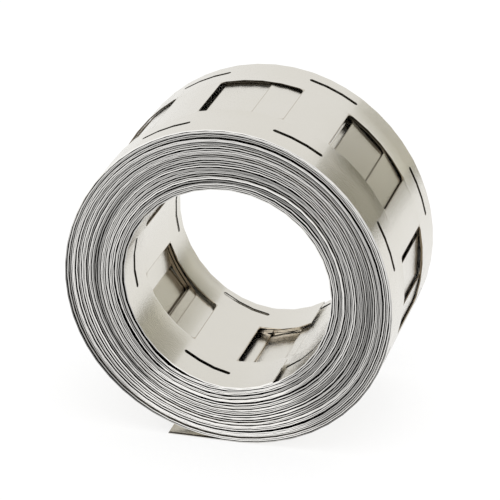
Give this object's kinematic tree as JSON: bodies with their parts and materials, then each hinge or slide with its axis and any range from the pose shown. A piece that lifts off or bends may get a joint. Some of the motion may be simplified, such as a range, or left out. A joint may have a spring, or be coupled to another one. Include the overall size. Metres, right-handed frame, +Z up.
{
  "type": "coil of punched nickel strip",
  "caption": "Coil of pure nickel strip, punched with windows and slots for round cells, standing on its rim with its outer end flat on the floor.",
  "frame": {"origin": "on the coil's axis, at half the width of the strip", "axes": "+Y along the coil's axis, away from the viewer in the picture, +Z up, the outer end leaving the lowest point of the rim toward -X"},
  "size_m": [0.0464, 0.027, 0.0464],
  "materials": {
    "nickel": "satin"
  },
  "bodies": {
    "root": {"nickel_strip_coil": "nickel"}
  },
  "joints": []
}
